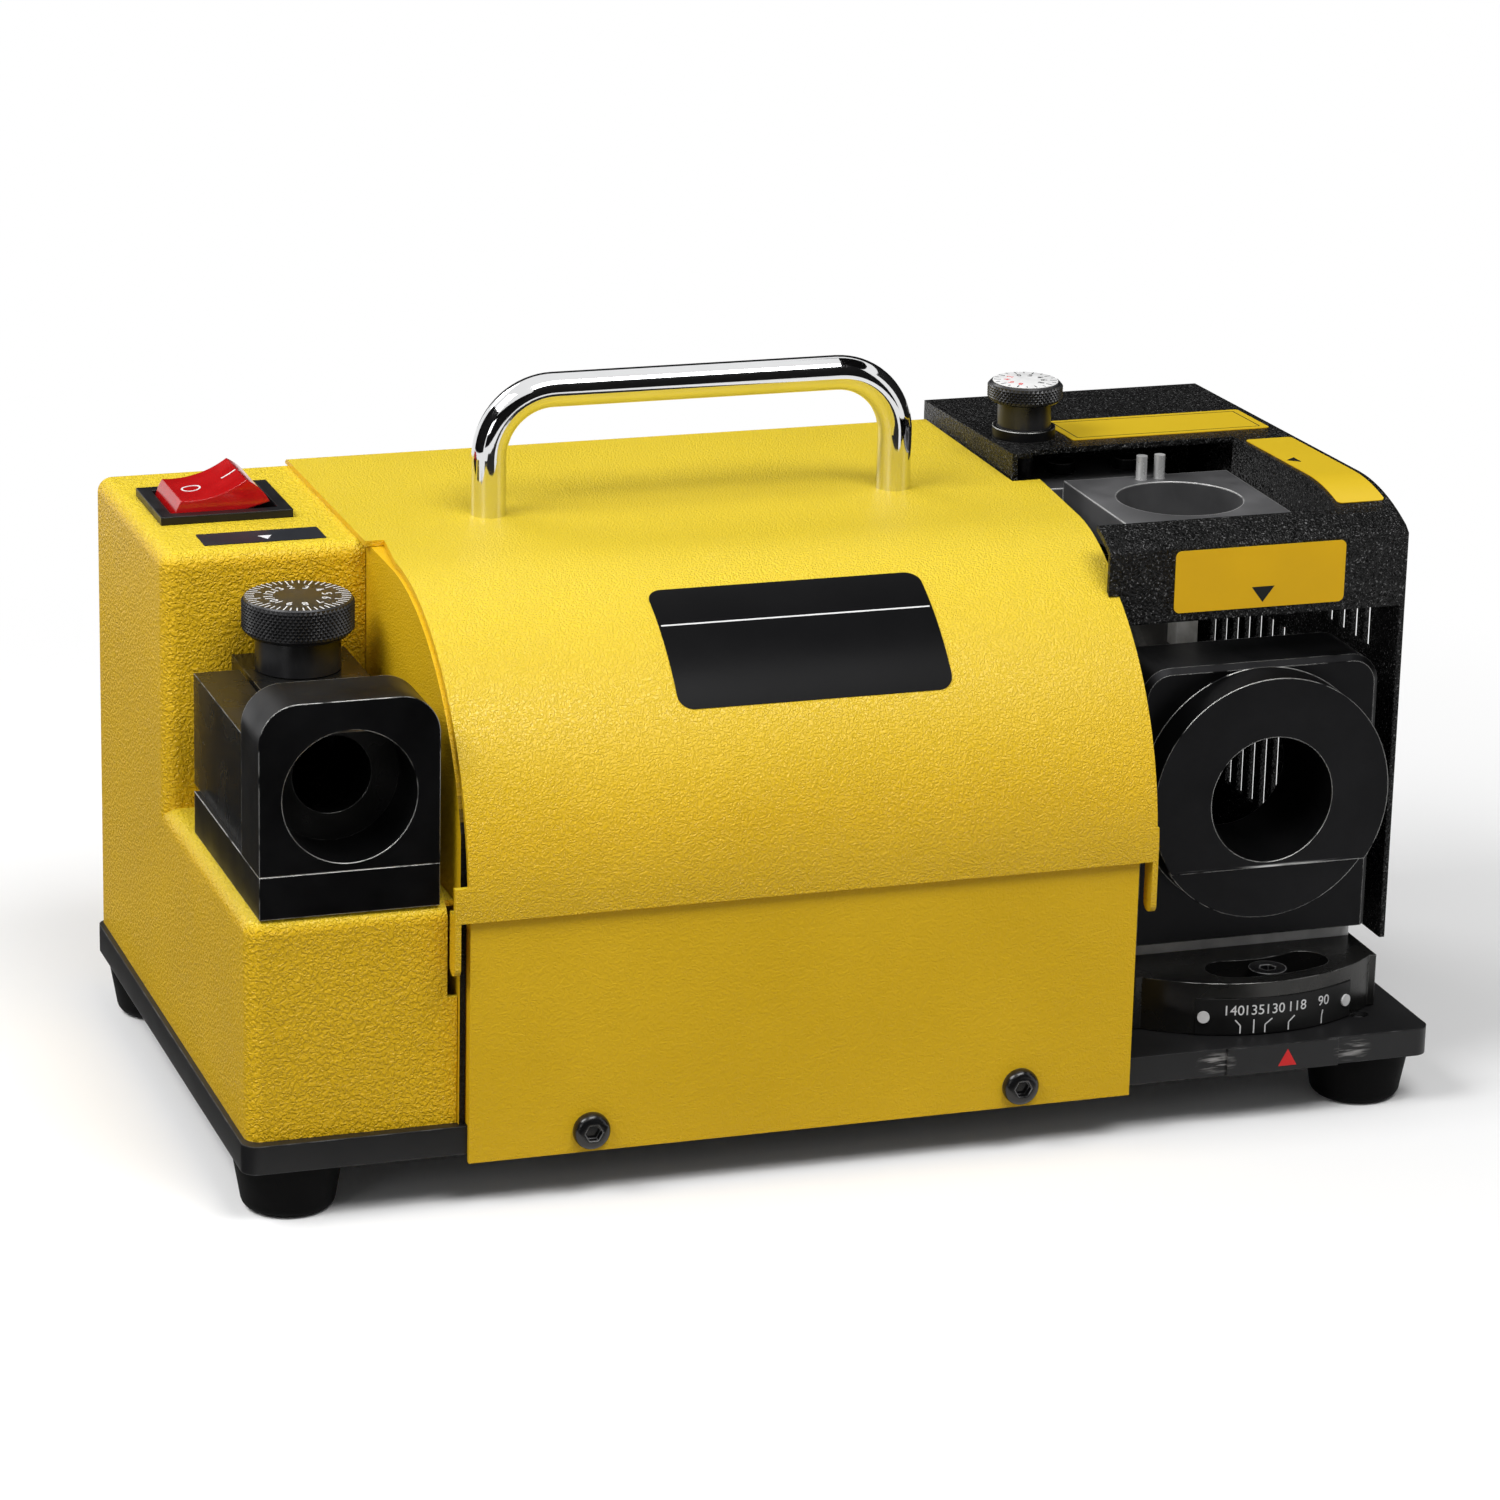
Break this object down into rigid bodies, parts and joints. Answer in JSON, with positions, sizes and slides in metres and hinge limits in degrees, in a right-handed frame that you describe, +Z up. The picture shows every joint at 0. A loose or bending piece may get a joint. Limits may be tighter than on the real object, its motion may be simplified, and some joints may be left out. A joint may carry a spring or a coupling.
{
  "type": "drill bit sharpener",
  "caption": "Bench drill bit sharpener: yellow sheet-metal motor body with a carrying handle, setting port with dial, black wheel hood, thinning port and swivelling point-angle holder.",
  "frame": {"origin": "middle of the bounding box, on the floor under the feet", "axes": "+X along the base towards the wheel hood, +Y to the back, +Z up"},
  "size_m": [0.32, 0.1826, 0.1857],
  "materials": {
    "yellow_paint": "orange-peel powder coat",
    "black_paint": "fine wrinkle powder coat",
    "black_oxide": "black-oxide finish with bright worn edges",
    "bright_steel": "ground",
    "chrome": "polished",
    "rubber": "matte",
    "black_plastic": "satin moulded",
    "red_plastic": "translucent moulded",
    "alloy": "machined",
    "copper": "enamelled wire and bare copper",
    "ferrite": "matte",
    "lamination": "laminated",
    "carbon": "matte",
    "abrasive": "grit",
    "board_green": "solder mask"
  },
  "bodies": {
    "frame": {"base_plate": "black_oxide", "rubber_feet": "rubber", "foot_screws": "bright_steel", "base_screws": "bright_steel", "left_housing": "yellow_paint", "left_cheek": "yellow_paint", "main_cover": "yellow_paint", "front_panel": "yellow_paint", "panel_screws": "black_oxide", "rear_screws": "black_oxide", "carry_handle": "chrome", "handle_screws": "bright_steel", "bulkhead": "black_paint", "bulkhead_screws": "black_oxide", "wheel_hood": "black_paint", "motor_can": "lamination", "field_magnets": "ferrite", "drive_end_bell": "alloy", "rear_end_bell": "alloy", "motor_bearings": "bright_steel", "motor_bolts": "bright_steel", "brushes": "carbon", "brush_holders": "black_plastic", "setting_base": "black_oxide", "setting_body": "black_oxide", "setting_socket": "black_oxide", "setting_screws": "bright_steel", "thinning_bracket": "black_oxide", "guide_posts": "bright_steel", "dial_collar": "black_oxide", "pivot_pin": "bright_steel", "clamp_screw": "bright_steel", "angle_pointer": "black_oxide", "switch_body": "black_plastic", "switch_terminals": "copper", "cable_gland": "black_plastic", "gland_nut": "black_plastic", "rectifier_board": "board_green", "board_standoffs": "bright_steel"},
    "spindle": {"motor_shaft": "bright_steel", "armature_core": "lamination", "armature_windings": "copper", "commutator": "copper", "cooling_fan": "black_plastic", "wheel_flange": "bright_steel", "grinding_wheel": "abrasive", "wheel_nut": "black_oxide"},
    "rocker": {"switch_rocker": "red_plastic"},
    "setting_knob": {"setting_dial": "black_oxide", "setting_cam": "bright_steel"},
    "thinning_knob": {"thinning_dial": "black_oxide"},
    "thinning_carriage": {"thinning_port": "black_oxide", "locating_pins": "bright_steel", "thinning_stop": "bright_steel"},
    "point_holder": {"swivel_sector": "black_oxide", "holder_foot": "bright_steel", "angle_holder": "black_oxide", "holder_screws": "bright_steel", "scale_plate": "black_paint", "scale_rivets": "bright_steel"}
  },
  "joints": [
    {"name": "spindle_spin", "type": "hinge", "parent": "frame", "child": "spindle", "pos_m": [0, 0.002, 0.0837], "axis": [1, 0, 0], "continuous": true},
    {"name": "rocker_tilt", "type": "hinge", "parent": "frame", "child": "rocker", "pos_m": [-0.135, 0.0474, 0.1448], "axis": [0, 1, 0], "range_deg": [0, 30]},
    {"name": "setting_turn", "type": "hinge", "parent": "frame", "child": "setting_knob", "pos_m": [-0.1268, -0.0096, 0.1197], "axis": [0, 0, 1], "range_deg": [-150, 150]},
    {"name": "thinning_turn", "type": "hinge", "parent": "frame", "child": "thinning_knob", "pos_m": [0.0873, 0.0364, 0.1557], "axis": [0, 0, 1], "range_deg": [-170, 170]},
    {"name": "thinning_lift", "type": "slide", "parent": "frame", "child": "thinning_carriage", "axis": [0, 0, 1], "range_m": [-0.000472, 0.000472]},
    {"name": "point_angle_swivel", "type": "hinge", "parent": "frame", "child": "point_holder", "pos_m": [0.1175, -0.03, 0.0287], "axis": [0, 0, 1], "range_deg": [-14, 11]}
  ],
  "couplings": [
    {"joint": "thinning_turn", "follows": "thinning_lift", "rad_per_m": -6283.2}
  ]
}
